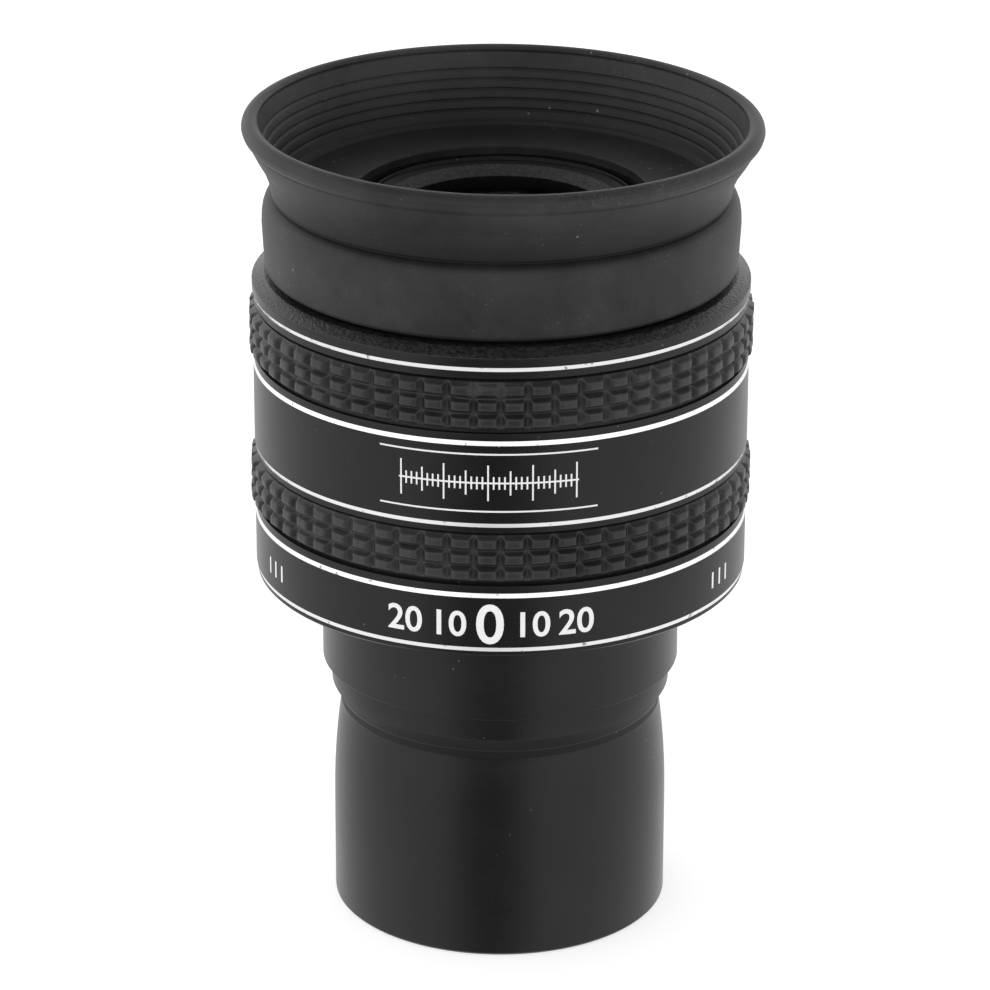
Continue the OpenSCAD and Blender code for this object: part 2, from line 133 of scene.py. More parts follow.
def make_floor():
    """White paper that the camera sees from above, and that lights and reflects in nothing."""
    mesh = bpy.data.meshes.new("floor")
    reach = 3.0
    mesh.from_pydata([(-reach, -reach, 0), (reach, -reach, 0), (reach, reach, 0), (-reach, reach, 0)],
                     [], [(0, 1, 2, 3)])
    floor = bpy.data.objects.new("floor", mesh)
    floor.location.z = -0.00002
    bpy.context.scene.collection.objects.link(floor)
    material = bpy.data.materials.new("paper")
    material.use_nodes = True
    tree = material.node_tree
    tree.nodes.clear()
    put = Wiring(tree)
    paper = put("ShaderNodeBsdfDiffuse")
    paper.inputs["Color"].default_value = (0.93, 0.93, 0.93, 1)
    glow = put("ShaderNodeEmission")
    glow.inputs["Color"].default_value = (1, 1, 1, 1)
    glow.inputs["Strength"].default_value = 0.6
    lit = put("ShaderNodeAddShader")
    tree.links.new(paper.outputs[0], lit.inputs[0])
    tree.links.new(glow.outputs[0], lit.inputs[1])
    clear = put("ShaderNodeBsdfTransparent")
    mix = put("ShaderNodeMixShader", Fac=put("ShaderNodeNewGeometry").outputs["Backfacing"])
    tree.links.new(lit.outputs[0], mix.inputs[1])
    tree.links.new(clear.outputs[0], mix.inputs[2])
    out = put("ShaderNodeOutputMaterial")
    tree.links.new(mix.outputs[0], out.inputs["Surface"])
    mesh.materials.append(material)
    floor.visible_glossy = False
    floor.visible_diffuse = False


# ---------------------------------------------------------------- materials

class Wiring:
    """Adds nodes to a tree, and links or sets their inputs by name."""

    def __init__(self, tree):
        self.tree = tree

    def __call__(self, kind, **inputs):
        node = self.tree.nodes.new(kind)
        for name, value in inputs.items():
            self.set(node, name, value)
        return node

    def set(self, node, name, value):
        socket = node.inputs[name]
        if isinstance(value, bpy.types.NodeSocket):
            self.tree.links.new(value, socket)
        else:
            socket.default_value = value

    def math(self, operation, *values):
        node = self.tree.nodes.new("ShaderNodeMath")
        node.operation = operation
        for socket, value in zip(node.inputs, values):
            if isinstance(value, bpy.types.NodeSocket):
                self.tree.links.new(value, socket)
            else:
                socket.default_value = value
        return node.outputs[0]

    def noise(self, vector, scale, detail=3.0, rough=0.5):
        node = self.tree.nodes.new("ShaderNodeTexNoise")
        node.inputs["Scale"].default_value = scale
        node.inputs["Detail"].default_value = detail
        node.inputs["Roughness"].default_value = rough
        self.tree.links.new(vector, node.inputs["Vector"])
        return node.outputs["Fac"]

    def between(self, value, low, high, to_low=0.0, to_high=1.0):
        node = self.tree.nodes.new("ShaderNodeMapRange")
        self.tree.links.new(value, node.inputs["Value"])
        node.inputs["From Min"].default_value = low
        node.inputs["From Max"].default_value = high
        node.inputs["To Min"].default_value = to_low
        node.inputs["To Max"].default_value = to_high
        return node.outputs["Result"]

    def mix(self, factor, first, second):
        node = self.tree.nodes.new("ShaderNodeMix")
        node.data_type = "RGBA"
        self.tree.links.new(factor, node.inputs["Factor"])
        for socket, colour in ((node.inputs[6], first), (node.inputs[7], second)):
            if isinstance(colour, bpy.types.NodeSocket):
                self.tree.links.new(colour, socket)
            else:
                socket.default_value = (*colour, 1)
        return node.outputs[2]

    def stretch(self, vector, scale):
        node = self.tree.nodes.new("ShaderNodeMapping")
        node.inputs["Scale"].default_value = scale
        self.tree.links.new(vector, node.inputs["Vector"])
        return node.outputs["Vector"]

    def height_along_lathe(self, vector):
        """Distance from the axis and height, as a vector that turning marks follow."""
        split = self("ShaderNodeSeparateXYZ", Vector=vector)
        square = self.math("ADD", self.math("MULTIPLY", split.outputs["X"], split.outputs["X"]),
                           self.math("MULTIPLY", split.outputs["Y"], split.outputs["Y"]))
        radius = self.math("SQRT", square)
        join = self.tree.nodes.new("ShaderNodeCombineXYZ")
        self.tree.links.new(radius, join.inputs["X"])
        self.tree.links.new(split.outputs["Z"], join.inputs["Z"])
        return join.outputs["Vector"]


def start_material(name):
    """A new material with one Principled shader, and object coordinates to place its patterns."""
    material = bpy.data.materials.new(name)
    material.use_nodes = True
    tree = material.node_tree
    tree.nodes.clear()
    put = Wiring(tree)
    shader = put("ShaderNodeBsdfPrincipled")
    out = put("ShaderNodeOutputMaterial")
    tree.links.new(shader.outputs[0], out.inputs["Surface"])
    place = put("ShaderNodeTexCoord").outputs["Object"]
    return material, put, shader, place


def add_bump(put, shader, height, distance_mm):
    bump = put("ShaderNodeBump", Height=height)
    bump.inputs["Distance"].default_value = distance_mm * MM
    bump.inputs["Strength"].default_value = 1.0
    put.tree.links.new(bump.outputs["Normal"], shader.inputs["Normal"])


def specks(put, place, per_metre, size):
    """A mask of scattered round specks: 1 on a speck."""
    cells = put.tree.nodes.new("ShaderNodeTexVoronoi")
    cells.inputs["Scale"].default_value = per_metre
    put.tree.links.new(place, cells.inputs["Vector"])
    near = put.between(cells.outputs["Distance"], size, size * 0.5)
    pick = put.between(put.noise(place, per_metre * 0.23, 1.0), 0.6, 0.68)
    return put.math("MULTIPLY", near, pick)


def anodised(name, tone, roughness, dust=0.5, specular=0.5):
    """Black anodised aluminium: fine turning lines, slow cloudiness, pale dust specks."""
    material, put, shader, place = start_material(name)
    lathe = put.height_along_lathe(place)
    lines = put.noise(put.stretch(lathe, (9000, 9000, 9000)), 1.0, 2.0, 0.6)
    clouds = put.noise(place, 140, 4.0, 0.6)
    fine = put.noise(place, 7000, 2.0, 0.7)
    dots = specks(put, place, 900, 0.1)
    dark = (tone * 0.6, tone * 0.6, tone * 0.62)
    pale = (tone * 1.5, tone * 1.5, tone * 1.55)
    mottle = put.between(put.math("MULTIPLY_ADD", fine, 0.8, clouds), 0.55, 1.25)
    base = put.mix(mottle, dark, pale)
    dusty = put.mix(put.math("MULTIPLY", dots, dust), base, (0.3, 0.3, 0.29))
    put.set(shader, "Base Color", dusty)
    wear = put.math("MULTIPLY_ADD", clouds, 0.12, roughness - 0.06)
    put.set(shader, "Roughness", put.math("MULTIPLY_ADD", lines, 0.06, wear))
    shader.inputs["Specular IOR Level"].default_value = specular
    grain = put.noise(place, 5200, 2.0)
    height = put.math("MULTIPLY_ADD", lines, 0.6, grain)
    add_bump(put, shader, height, 0.009)
    return material


def blasted(name, tone, grain_mm=0.2, depth_mm=0.12, roughness=0.36, specular=0.5):
    """Bead-blasted, black anodised aluminium with a coarse sparkling grain."""
    material, put, shader, place = start_material(name)
    grain = put.noise(place, 1 / (grain_mm * MM) * 0.5, 3.0, 0.65)
    pits = put.noise(place, 1 / (grain_mm * MM) * 1.4, 1.0)
    base = put.mix(put.between(grain, 0.35, 0.65), (tone * 0.4,) * 3, (tone * 2.2,) * 3)
    put.set(shader, "Base Color", base)
    put.set(shader, "Roughness", put.math("MULTIPLY_ADD", grain, 0.2, roughness - 0.1))
    shader.inputs["Specular IOR Level"].default_value = specular
    add_bump(put, shader, put.math("MULTIPLY_ADD", pits, 0.4, grain), depth_mm)
    return material


def bare_cut(name):
    """Bare aluminium left by a diamond cut: bright, with fine lines and tiny nicks."""
    material, put, shader, place = start_material(name)
    lathe = put.height_along_lathe(place)
    lines = put.noise(put.stretch(lathe, (14000, 14000, 14000)), 1.0, 2.0)
    nicks = put.between(put.noise(place, 1500, 2.0), 0.66, 0.72)
    shade = put.mix(nicks, (0.97, 0.97, 0.98), (0.35, 0.35, 0.35))
    put.set(shader, "Base Color", shade)
    put.set(shader, "Roughness", put.between(lines, 0.3, 0.7, 0.16, 0.3))
    shader.inputs["Metallic"].default_value = 1.0
    add_bump(put, shader, lines, 0.002)
    return material


def moulded_rubber(name, tone, grain_mm=0.12, depth_mm=0.012, roughness=0.6, dust=0.5, rings=0.0,
                   powder=0.15, specular=0.28, painted_crease_shade=None):
    """Matt moulded rubber: a fine skin, cloudy bloom, powdery patches, dust, faint mould rings and, when
    asked, a band of painted shade.

    painted_crease_shade is (low, full, high, strength): heights in mm between which the rubber's colour is
    darkened as painted shade."""
    material, put, shader, place = start_material(name)
    skin = put.noise(place, 1 / (grain_mm * MM), 3.0, 0.6)
    bloom = put.noise(place, 110, 5.0, 0.62)
    lathe = put.height_along_lathe(place)
    flow = put.noise(put.stretch(lathe, (1500, 1500, 1500)), 1.0, 2.0)
    patches = put.noise(place, 45, 3.0, 0.5)
    cloud = put.math("MULTIPLY_ADD", patches, 0.9, bloom)
    base = put.mix(put.between(cloud, 0.74, 1.16), (tone * 0.45,) * 3, (tone * 1.6,) * 3)
    chalky = put.math("MULTIPLY", put.between(put.noise(place, 85, 3.0, 0.6), 0.5, 0.68),
                      put.between(put.noise(place, 2600, 3.0, 0.7), 0.52, 0.66))
    chalk_and_painted_shade = put.mix(put.math("MULTIPLY", chalky, powder), base, (0.11, 0.11, 0.112))
    dots = specks(put, place, 800, 0.12)
    fluff = specks(put, place, 1900, 0.16)
    # Painted shade: the colour darkens towards near black in this height band, standing in for the shade in
    # and above the eyecup's crease.
    if painted_crease_shade:
        low, full, high, strength = painted_crease_shade
        height = put("ShaderNodeSeparateXYZ", Vector=place).outputs["Z"]
        rising = put.between(height, low * MM, full * MM)
        falling = put.between(height, high * MM, full * MM)
        depth = put.math("MULTIPLY", put.math("MINIMUM", rising, falling), strength)
        chalk_and_painted_shade = put.mix(depth, chalk_and_painted_shade, (0.002, 0.002, 0.002))
    marked = put.mix(put.math("MULTIPLY", dots, dust), chalk_and_painted_shade, (0.22, 0.22, 0.21))
    spotted = put.mix(put.math("MULTIPLY", fluff, dust * 0.6), marked, (0.18, 0.18, 0.18))
    put.set(shader, "Base Color", spotted)
    put.set(shader, "Roughness", put.math("MULTIPLY_ADD", bloom, 0.16, roughness - 0.08))
    shader.inputs["Specular IOR Level"].default_value = specular
    shader.inputs["Sheen Weight"].default_value = 0.02
    shader.inputs["Sheen Roughness"].default_value = 0.5
    height = put.math("MULTIPLY_ADD", flow, rings, skin)
    add_bump(put, shader, height, depth_mm)
    return material


def coated_glass(name, tint, reflect=0.1):
    """Lens glass with an anti-reflection coating: weak tinted reflections and faint dust."""
    material, put, shader, place = start_material(name)
    haze = put.noise(place, 260, 4.0)
    dots = specks(put, place, 1100, 0.06)
    put.set(shader, "Base Color", put.mix(dots, (0.97, 0.97, 0.97), (0.7, 0.7, 0.7)))
    put.set(shader, "Roughness", put.math("MULTIPLY_ADD", haze, 0.012, put.math("MULTIPLY", dots, 0.3)))
    shader.inputs["IOR"].default_value = 1.52
    shader.inputs["Transmission Weight"].default_value = 1.0
    shader.inputs["Specular IOR Level"].default_value = reflect
    shader.inputs["Specular Tint"].default_value = (*tint, 1)
    return material


def ink(name):
    """White pad-printed ink, slightly uneven, with a faint painted glow."""
    material, put, shader, place = start_material(name)
    patchy = put.noise(place, 2600, 3.0)
    put.set(shader, "Base Color", put.mix(patchy, (0.8, 0.8, 0.8), (0.98, 0.98, 0.98)))
    put.set(shader, "Roughness", put.between(patchy, 0.3, 0.7, 0.45, 0.62))
    # Painted light: the ink glows faintly, though it is no lamp.
    shader.inputs["Emission Color"].default_value = (1, 1, 1, 1)
    shader.inputs["Emission Strength"].default_value = 0.12
    return material


def turned_steel(name):
    """Plain steel with fine uneven lines."""
    material, put, shader, place = start_material(name)
    lines = put.noise(place, 3000, 3.0)
    put.set(shader, "Base Color", put.mix(lines, (0.42, 0.42, 0.43), (0.62, 0.62, 0.63)))
    put.set(shader, "Roughness", put.between(lines, 0.2, 0.8, 0.25, 0.45))
    shader.inputs["Metallic"].default_value = 1.0
    add_bump(put, shader, lines, 0.003)
    return material


# ---------------------------------------------------------------- shapes

def link_mesh(name, verts, faces, materials, indices=None):
    mesh = bpy.data.meshes.new(name)
    mesh.from_pydata(verts, [], faces)
    for m in materials:
        mesh.materials.append(m)
    if indices:
        mesh.polygons.foreach_set("material_index", indices)
    mesh.polygons.foreach_set("use_smooth", [True] * len(mesh.polygons))
    mesh.update()
    obj = bpy.data.objects.new(name, mesh)
    bpy.context.scene.collection.objects.link(obj)
    return obj


def profile_of(node):
    """The closed (radius, height) outline of a turned CAD node, read from its mesh, anticlockwise."""
    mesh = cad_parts[node].data
    nudge = 0.00013  # keeps values off the rounding ties
    key = [(round(math.hypot(v.co.x, v.co.y) / MM + nudge, 3), round(v.co.z / MM + nudge, 3))
           for v in mesh.vertices]
    near = {}
    for edge in mesh.edges:
        a, b = (key[i] for i in edge.vertices)
        if a != b:
            near.setdefault(a, set()).add(b)
            near.setdefault(b, set()).add(a)
    start = min(near, key=lambda p: (p[1], -p[0]))
    loop, last = [start], None
    here = max(near[start], key=lambda p: p[0])
    while here != start:
        loop.append(here)
        onward = [p for p in near[here] if p != last and p != loop[-2]]
        last, here = here, onward[0] if len(onward) == 1 else min(onward, key=lambda p: math.dist(p, here))
        if len(loop) > 400:
            raise ValueError(f"{node} isn't a turned shape")
    area = sum(a[0] * b[1] - b[0] * a[1] for a, b in zip(loop, loop[1:] + loop[:1]))
    return loop if area > 0 else loop[::-1]


def rounded(loop, radius, steps=3):
    """The outline with each clear corner replaced by a small arc of points."""
    out = []
    count = len(loop)
    for i, p in enumerate(loop):
        before, after = Vector(loop[i - 1]), Vector(loop[(i + 1) % count])
        here = Vector(p)
        u, v = (before - here), (after - here)
        turn = math.pi - u.angle(v)
        cut = min(radius, u.length * 0.4, v.length * 0.4)
        if turn < math.radians(8):
            out.append(tuple(here))
            continue
        a, b = here + u.normalized() * cut, here + v.normalized() * cut
        for k in range(steps + 1):
            t = k / steps
            out.append(tuple(a * (1 - t) ** 2 + here * 2 * t * (1 - t) + b * t ** 2))
    return out


def lathe(name, loop, materials, choose=None, segments=SEGMENTS, shift=None):
    """Turns a closed (radius, height) outline in mm about Z. choose(r, z, dr, dz) picks a material."""
    count = len(loop)
    verts = []
    for i in range(segments):
        a = 2 * math.pi * i / segments
        for r, z in loop:
            p = Vector((r * math.cos(a), r * math.sin(a), z))
            if shift:
                p = shift(p, a)
            verts.append(p * MM)
    faces, indices = [], []
    for i in range(segments):
        j = (i + 1) % segments
        for k in range(count):
            m = (k + 1) % count
            faces.append((i * count + k, j * count + k, j * count + m, i * count + m))
            (r0, z0), (r1, z1) = loop[k], loop[m]
            indices.append(choose((r0 + r1) / 2, (z0 + z1) / 2, r1 - r0, z1 - z0) if choose else 0)
    return link_mesh(name, verts, faces, materials, indices)


def sharpen(obj, degrees=28):
    """Marks edges sharper than an angle, so that smooth shading stops there."""
    mesh = obj.data
    bm = bmesh.new()
    bm.from_mesh(mesh)
    for edge in bm.edges:
        if len(edge.link_faces) == 2 and edge.calc_face_angle(0) > math.radians(degrees):
            edge.smooth = False
    bm.to_mesh(mesh)
    bm.free()


def stand_for(obj, body, slot, *nodes):
    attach(obj, body)
    if nodes:
        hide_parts(*nodes)


def height_range(node):
    low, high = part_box(node)
    return low.z / MM, high.z / MM


def cut_edges(loop):
    """Height ranges of the narrow sloping faces that a diamond cut left bare."""
    least_in, most_in, least_tall, most_tall = 0.08, 0.25, 0.4, 0.75
    ranges = []
    for (r0, z0), (r1, z1) in zip(loop, loop[1:] + loop[:1]):
        narrow = least_in < abs(r1 - r0) < most_in and least_tall < abs(z1 - z0) < most_tall
        if r0 > OUTER_WALL_R and narrow:
            ranges.append((min(z0, z1), max(z0, z1)))
    return ranges


def split_at(loop, heights):
    """The outline with points added where its outer side crosses each height."""
    out = []
    for (r0, z0), (r1, z1) in zip(loop, loop[1:] + loop[:1]):
        out.append((r0, z0))
        outside = min(r0, r1) > OUTER_WALL_R
        crossed = [z for z in heights if outside and min(z0, z1) < z < max(z0, z1)]
        for z in sorted(crossed, reverse=z1 < z0):
            out.append((r0 + (r1 - r0) * (z - z0) / (z1 - z0), z))
    return out


def housing_part(node, name, black, cut):
    """A black housing piece whose diamond-cut edges stay bare, a little narrower than the cut itself."""
    corner, margin = 0.03, 0.05
    loop = profile_of(node)
    ranges = [(low + margin, high - margin) for low, high in cut_edges(loop)]
    loop = split_at(loop, [z for pair in ranges for z in pair])

    def choose(r, z, dr, dz):
        return int(r > OUTER_WALL_R and any(low < z < high for low, high in ranges))

    obj = lathe(name, rounded(loop, corner), [black, cut], choose)
    stand_for(obj, "eyepiece_body", "black_anodised", node)
    return obj


def smooth_step(value, low, high):
    t = max(0.0, min(1.0, (value - low) / (high - low)))
    return t * t * (3 - 2 * t)


def make_nosepiece(black, cell_black):
    """The barrel, with the plain bore of the mouth opened for a real thread."""
    loop = profile_of("nosepiece_barrel")
    thread_depth, behind_thread, pitch = 0.33, 0.02, 0.6
    crest = min(r for r, z in loop if z < 1)
    root = crest + thread_depth
    top = max(z for r, z in loop if abs(r - crest) < SAME_WALL)
    opened = [(root + behind_thread, z) if abs(r - crest) < SAME_WALL and z <= top else (r, z)
              for r, z in loop]

    full = max(r for r, z in loop if z < 10)
    shoulder = max(r for r, z in loop)
    under_shoulder = max(z for r, z in loop if r < full - 0.6 and r > root + 0.5) + 1.6

    def choose(r, z, dr, dz):
        facing_down = dr > 0.02 and dz > 0 and full - 1.2 < r < shoulder and 15 < z < under_shoulder
        return int(r < root + 0.1 or facing_down)

    barrel = lathe("nosepiece_barrel_turned", rounded(opened, 0.09), [black, cell_black], choose)
    stand_for(barrel, "eyepiece_body", "black_anodised", "nosepiece_barrel")
    thread = make_thread("filter_thread_m28", crest, root, 0.3, top - 0.05, pitch, cell_black)
    stand_for(thread, "eyepiece_body", "black_anodised")


def make_thread(name, crest, root, low, high, pitch, material):
    """A right-handed internal thread: a zigzag wall that climbs one pitch a turn."""
    wave = [(root, 0.0), (root, 0.12), (crest, 0.42), (crest, 0.58), (root, 0.88)]
    turns = int((high - low) / pitch) + 2
    rows = [(r, (k - 1 + t) * pitch) for k in range(turns + 1) for r, t in wave]
    segments = 180
    verts, faces = [], []
    for i in range(segments + 1):
        a = 2 * math.pi * i / segments
        for r, z in rows:
            height = low + z + pitch * i / segments
            held = min(max(height, low), high)
            verts.append(Vector((r * math.cos(a), r * math.sin(a), held)) * MM)
    count = len(rows)
    for i in range(segments):
        for k in range(count - 1):
            faces.append((i * count + k, i * count + k + 1, (i + 1) * count + k + 1, (i + 1) * count + k))
    return link_mesh(name, verts, faces, [material])


def make_grip(node, name, rubber, seed, scar=None):
    """A stretched rubber band of square pads. scar is an angle where a moulding seam fills the top row."""
    low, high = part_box(node)
    outer, z0, z1 = high.x / MM, low.z / MM, high.z / MM
    thickness, depth = 0.95, 0.62
    inner = outer - thickness
    columns, rows = 60, 3
    across = (0.0, 0.03, 0.1, 0.16, 0.2, 0.35, 0.5, 0.65, 0.8, 0.84, 0.9, 0.97)
    upright = (0.0, 0.04, 0.14, 0.21, 0.26, 0.4, 0.6, 0.74, 0.79, 0.86, 0.96)
    pick = random.Random(seed)
    lift = [[pick.uniform(-0.12, 0.0) for _ in range(rows)] for _ in range(columns)]
    lean = [[pick.uniform(-0.12, 0.12) for _ in range(rows)] for _ in range(columns)]
    tip = [[pick.uniform(-0.14, 0.1) for _ in range(rows)] for _ in range(columns)]

    def ramp(t, slope):
        """Height across a pad: a flat groove floor, a straight flank and a soft shoulder."""
        d = max(0.0, min(1.0, (min(t, 1 - t) - 0.025) / slope))
        return d if d < 0.7 else 0.7 + 0.3 * math.sin((d - 0.7) / 0.3 * math.pi / 2)

    def point(c, u, row, v):
        angle = 2 * math.pi * (c + u) / columns
        where = Vector((math.cos(angle) * 3, math.sin(angle) * 3, seed + row * 0.3))
        wave = noise.noise(where * 1.7)
        high_pad = min(ramp(u, 0.19), ramp(v, 0.25)) if 0 <= v < 1 else 0
        if scar is not None and row == rows - 1:
            apart = abs((angle - scar + math.pi) % (2 * math.pi) - math.pi)
            fill = 0.75 - 0.75 * smooth_step(apart, math.radians(4), math.radians(9))
            along = ((angle - scar + math.pi) % (2 * math.pi) - math.pi) / math.radians(7)
            fold = math.exp(-((v - 0.5 - 0.45 * along) / 0.16) ** 2)
            high_pad += (0.3 + 0.35 * high_pad + 0.35 * fold - high_pad) * fill
        r = outer - depth + (depth + lift[c % columns][row]) * high_pad
        r += (lean[c % columns][row] * (u - 0.5) + tip[c % columns][row] * (v - 0.5)) * high_pad + 0.04 * wave
        z = z0 + (z1 - z0) * (row + v) / rows + 0.06 * wave * (1 if 0 < row + v < rows else 0.4)
        return min(r, outer), z, angle

    ring = []
    for c in range(columns):
        for u in across:
            column = [point(c, u, row, v) for row in range(rows) for v in upright]
            column.append(point(c, u, rows - 1, 0.9999))
            angle = column[0][2]
            column = [(inner, z0, angle)] + column + [(inner, z1, angle)]
            ring.append([Vector((r * math.cos(angle), r * math.sin(angle), z)) * MM for r, z, _ in column])
    count, turns = len(ring[0]), len(ring)
    verts = [p for column in ring for p in column]
    faces = []
    for i in range(turns):
        j = (i + 1) % turns
        for k in range(count):
            m = (k + 1) % count
            faces.append((i * count + k, j * count + k, j * count + m, i * count + m))
    obj = link_mesh(name, verts, faces, [rubber])
    stand_for(obj, "eyepiece_body", "grip_rubber", node)


def make_eyecup(rubber, worn):
    """The soft cup: turned from the CAD outline, then let sag and tilt a little, as on the sleeve."""
    loop = rounded(profile_of("eyecup"), 0.09, 3)
    top = height_range("eyecup")[1]
    crease = top - CREASE_DROP
    lip_line = top - 1.8
    ripple, shrink, sideways, tilt, sag = 0.0035, 0.004, 0.12, 0.009, 0.2

    def choose(r, z, dr, dz):
        return int(z > lip_line)

    def shift(p, angle):
        flex = smooth_step(p.z, crease, top)
        wobble = noise.noise(Vector((math.cos(angle) * 1.3, math.sin(angle) * 1.3, p.z * 0.05)))
        spread = 1 + (ripple * wobble - shrink) * flex
        x = p.x * spread + sideways * flex
        return Vector((x, p.y * spread, p.z - flex * (p.x * tilt + sag)))

    obj = lathe("rubber_eyecup", loop, [rubber, worn], choose, shift=shift, segments=360)
    sharpen(obj, 40)
    stand_for(obj, "eyeguard", "cup_rubber", "eyecup")


def make_top_ring(satin, sand):
    """The ring over the upper grip: satin below, coarse blasted on its bevel."""
    loop = profile_of("top_retaining_ring")
    flange = max(r for r, z in loop)
    bevel = max(z for r, z in loop if abs(r - flange) < SAME_WALL)

    def choose(r, z, dr, dz):
        return int(z > bevel - 0.02)

    obj = lathe("top_ring_blasted", rounded(loop, 0.06), [satin, sand], choose)
    stand_for(obj, "eyepiece_body", "blasted_black_metal", "top_retaining_ring")


def make_bezel(satin, sand):
    """The ring round the eye lens, blasted on the chamfer and satin elsewhere."""
    loop = profile_of("eye_lens_bezel")
    top = max(z for r, z in loop)
    clear = min(r for r, z in loop)
    chamfer_across, chamfer_down = 1.36, 1.1

    def choose(r, z, dr, dz):
        return int(clear - 0.1 < r < clear + chamfer_across and z > top - chamfer_down)

    obj = lathe("eye_lens_bezel_turned", rounded(loop, 0.05), [satin, sand], choose)
    stand_for(obj, "eyepiece_body", "blasted_black_metal", "eye_lens_bezel")


def make_lens(node, name, glass, slot):
    """A lens with true spherical faces, from the heights of the CAD lens at its edge and axis."""
    points = [(math.hypot(v.co.x, v.co.y) / MM, v.co.z / MM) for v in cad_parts[node].data.vertices]
    edge = max(r for r, z in points)
    rim = [z for r, z in points if r > edge - 0.01]
    low, high = min(rim), max(rim)
    core = [z for r, z in points if r < 0.02]
    flat_low = min(core) if core and min(core) < (low + high) / 2 + 1.5 else low
    flat_high = max(core) if core and max(core) > (low + high) / 2 - 1.5 else high
    steps = 28

    def face(edge_z, axis_z):
        drop = axis_z - edge_z
        if abs(drop) < 0.01:
            return [(edge * k / steps, edge_z) for k in range(steps + 1)]
        curve = (edge * edge + drop * drop) / (2 * abs(drop))
        sign = 1 if drop > 0 else -1
        return [(edge * k / steps, axis_z - sign * (curve - math.sqrt(curve ** 2 - (edge * k / steps) ** 2)))
                for k in range(steps + 1)]

    loop = face(low, flat_low) + face(high, flat_high)[::-1]
    loop = [(max(r, 0.001), z) for r, z in loop]
    obj = lathe(name, loop, [glass], segments=144)
    sharpen(obj)
    stand_for(obj, "eyepiece_body", slot, node)


# ---------------------------------------------------------------- printed marks

class Printer:
    """Thin white ink on a band: strokes and numerals laid out flat, then wrapped round the housing."""

    def __init__(self, radius, centre_deg):
        self.radius = radius
        self.centre = math.radians(centre_deg)
        self.mesh = bmesh.new()

    def wrap(self, s, z):
        a = self.centre + s / self.radius
        r = self.radius + INK_LIFT
        return Vector((r * math.sin(a), -r * math.cos(a), z)) * MM

    def stroke(self, start, end, width=0.17):
        (s0, z0), (s1, z1) = start, end
        length = math.dist(start, end)
        side = ((z0 - z1) / length * width / 2, (s1 - s0) / length * width / 2)
        steps = max(1, int(length / 0.5))
        last = None
        for k in range(steps + 1):
            t = k / steps
            s, z = s0 + (s1 - s0) * t, z0 + (z1 - z0) * t
            pair = [self.mesh.verts.new(self.wrap(s + side[0] * w, z + side[1] * w)) for w in (-1, 1)]
            if last:
                self.mesh.faces.new((last[0], pair[0], pair[1], last[1]))
            last = pair

    def numeral(self, text, s, z, height, bold=0.05):
        """One numeral whose foot is at height z, centred on s."""
        curve = bpy.data.curves.new("numeral", "FONT")
        curve.body = text
        curve.align_x = "CENTER"
        curve.size = 1
        curve.offset = bold * 0.1
        curve.resolution_u = 6
        holder = bpy.data.objects.new("numeral", curve)
        bpy.context.scene.collection.objects.link(holder)
        flat = bmesh.new()
        flat.from_mesh(holder.to_mesh())
        bpy.data.objects.remove(holder)
        top = max(v.co.y for v in flat.verts)
        foot = min(v.co.y for v in flat.verts)
        scale = height / (top - foot)
        for v in flat.verts:
            v.co = Vector((v.co.x * scale, (v.co.y - foot) * scale, 0))
        reach = max(abs(v.co.x) for v in flat.verts)
        cut = -reach
        while cut < reach:
            everything = flat.verts[:] + flat.edges[:] + flat.faces[:]
            bmesh.ops.bisect_plane(flat, geom=everything, plane_co=(cut, 0, 0), plane_no=(1, 0, 0))
            cut += 0.3
        placed = {v: self.mesh.verts.new(self.wrap(s + v.co.x, z + v.co.y)) for v in flat.verts}
        for face in flat.faces:
            self.mesh.faces.new([placed[v] for v in face.verts])
        flat.free()

    def done(self, name, material):
        bmesh.ops.recalc_face_normals(self.mesh, faces=self.mesh.faces)
        mesh = bpy.data.meshes.new(name)
        for face in self.mesh.faces:
            out = Vector((face.calc_center_median().x, face.calc_center_median().y, 0))
            if face.normal.dot(out) < 0:
                face.normal_flip()
        self.mesh.to_mesh(mesh)
        self.mesh.free()
        mesh.materials.append(material)
        obj = bpy.data.objects.new(name, mesh)
        bpy.context.scene.collection.objects.link(obj)
        stand_for(obj, "eyepiece_body", "black_anodised")


def print_marks(white):
    """A plain graduated scale on the middle band and bold dial numbers on the lower band."""
    lower_band_up, middle_band_up = 10.13, 6.16
    base_z = height_range("base_flange")[0] + lower_band_up
    band_z = height_range("main_housing")[0] + middle_band_up
    centre = -2.3
    fine_line, tick_width, mark_width = 0.16, 0.15, 0.3
    long_tick, middle_tick, short_tick = 1.7, 1.15, 0.6
    tick_gap, scale_left = 0.5, 0.2
    middle = Printer(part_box("base_flange")[1].x / MM, centre)
    for z in (1.12, 6.57):
        middle.stroke((-10.3, band_z + z), (9.8, band_z + z), fine_line)
    line = band_z + 3.84
    middle.stroke((-8.4, line), (8.0, line), fine_line)
    for k in range(-16, 17):
        size = long_tick if k % 8 == 0 else middle_tick if k % 4 == 0 else short_tick
        s = k * tick_gap - scale_left
        middle.stroke((s, line - size), (s, line + size), tick_width)
    middle.done("middle_band_scale", white)

    lower = Printer(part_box("base_flange")[1].x / MM, centre)
    small, tall = 2.5, 3.9
    dial = (("20", -7.9, small), ("10", -3.8, small), ("0", 0, tall), ("10", 3.8, small), ("20", 7.9, small))
    for text, s, height in dial:
        foot = base_z + (0.3 if height == tall else 0.95)
        lower.numeral(text, s, foot, height, 0.15)
    for s in (-26.2, -24.9, -23.6, 24.2, 25.5, 26.8):
        lower.stroke((s, base_z + 1.3), (s, base_z + 2.9), mark_width)
    lower.done("lower_band_scale", white)


# ---------------------------------------------------------------- build

def repaint(material, *nodes):
    for node in nodes:
        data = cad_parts[node].data
        data.materials.clear()
        data.materials.append(material)


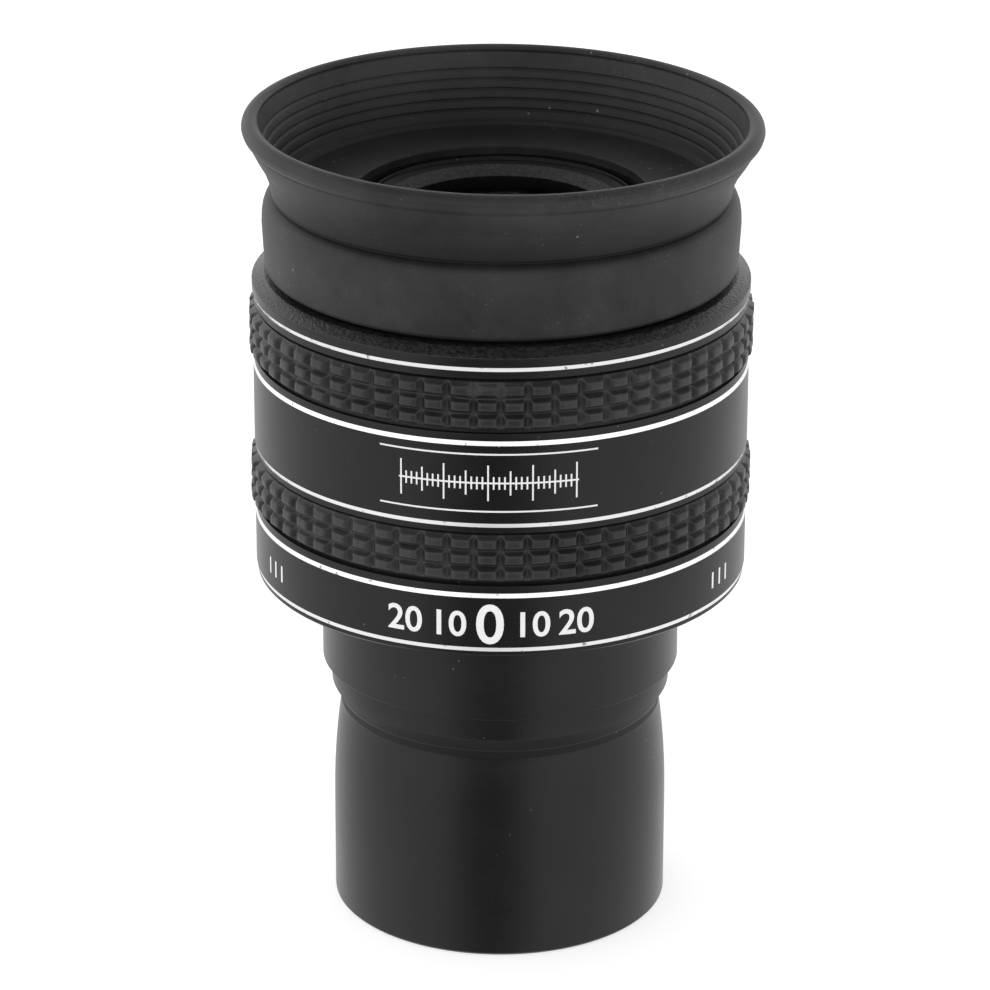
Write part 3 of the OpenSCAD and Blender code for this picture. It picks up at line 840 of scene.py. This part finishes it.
def build():
    black = anodised("black_anodised_satin", 0.008, 0.27, specular=0.33)
    matt = anodised("black_anodised_matt", 0.005, 0.5, dust=0.3, specular=0.25)
    sand = blasted("black_blasted", 0.014)
    fine_sand = blasted("black_blasted_fine", 0.006, grain_mm=0.2, depth_mm=0.16,
                        roughness=0.26, specular=0.42)
    ring_black = anodised("black_anodised_ring", 0.004, 0.35, dust=0.6, specular=0.16)
    cut = bare_cut("bare_diamond_cut")
    grip_rubber = moulded_rubber("grip_rubber_black", 0.02, roughness=0.42, dust=0.8,
                                 powder=0.3, specular=0.45)
    crease = height_range("eyecup")[1] - CREASE_DROP
    # The cup rubber gets painted shade: its colour darkens from just below the crease to 5.65 mm above it.
    cup_rubber = moulded_rubber("cup_rubber_black", 0.027, roughness=0.5, dust=0.9, rings=0.8, specular=0.26,
                                painted_crease_shade=(crease - 0.65, crease + 0.15, crease + 5.65, 0.72))
    worn_rubber = moulded_rubber("cup_rubber_worn", 0.025, roughness=0.48, dust=1.0, powder=0.4)
    seal = moulded_rubber("seal_rubber_greased", 0.01, roughness=0.3, dust=0.0, powder=0.0)
    blue_coat = coated_glass("glass_coated_violet", (0.5, 0.55, 1.0), 0.05)
    green_coat = coated_glass("glass_coated_green", (0.7, 0.9, 0.8), 0.03)
    white = ink("white_ink_painted_glow")
    steel = turned_steel("screw_steel_turned")

    make_nosepiece(black, matt)
    housing_part("base_flange", "lower_housing_turned", black, cut)
    housing_part("main_housing", "main_housing_turned", black, cut)
    make_top_ring(black, sand)
    make_grip("lower_grip", "lower_rubber_grip", grip_rubber, 3)
    make_grip("upper_grip", "upper_rubber_grip", grip_rubber, 8, scar=math.radians(-92))
    make_eyecup(cup_rubber, worn_rubber)
    make_bezel(ring_black, fine_sand)
    make_lens("eye_lens", "eye_lens_glass", blue_coat, "coated_glass")
    for node in ("smyth_front_lens", "smyth_rear_lens", "field_lens", "doublet_crown", "doublet_flint"):
        make_lens(node, node + "_glass", green_coat, "optical_glass")
    repaint(matt, "lens_barrel", "smyth_retaining_ring", "barrel_baffle", "field_stop",
            "field_retaining_ring", "lens_spacer", "eyeguard_sleeve")
    repaint(seal, "damping_ring")
    repaint(steel, "guide_screws")
    print_marks(white)


bpy.context.scene.view_settings.view_transform = "Standard"
make_camera()
make_world()
make_floor()
build()
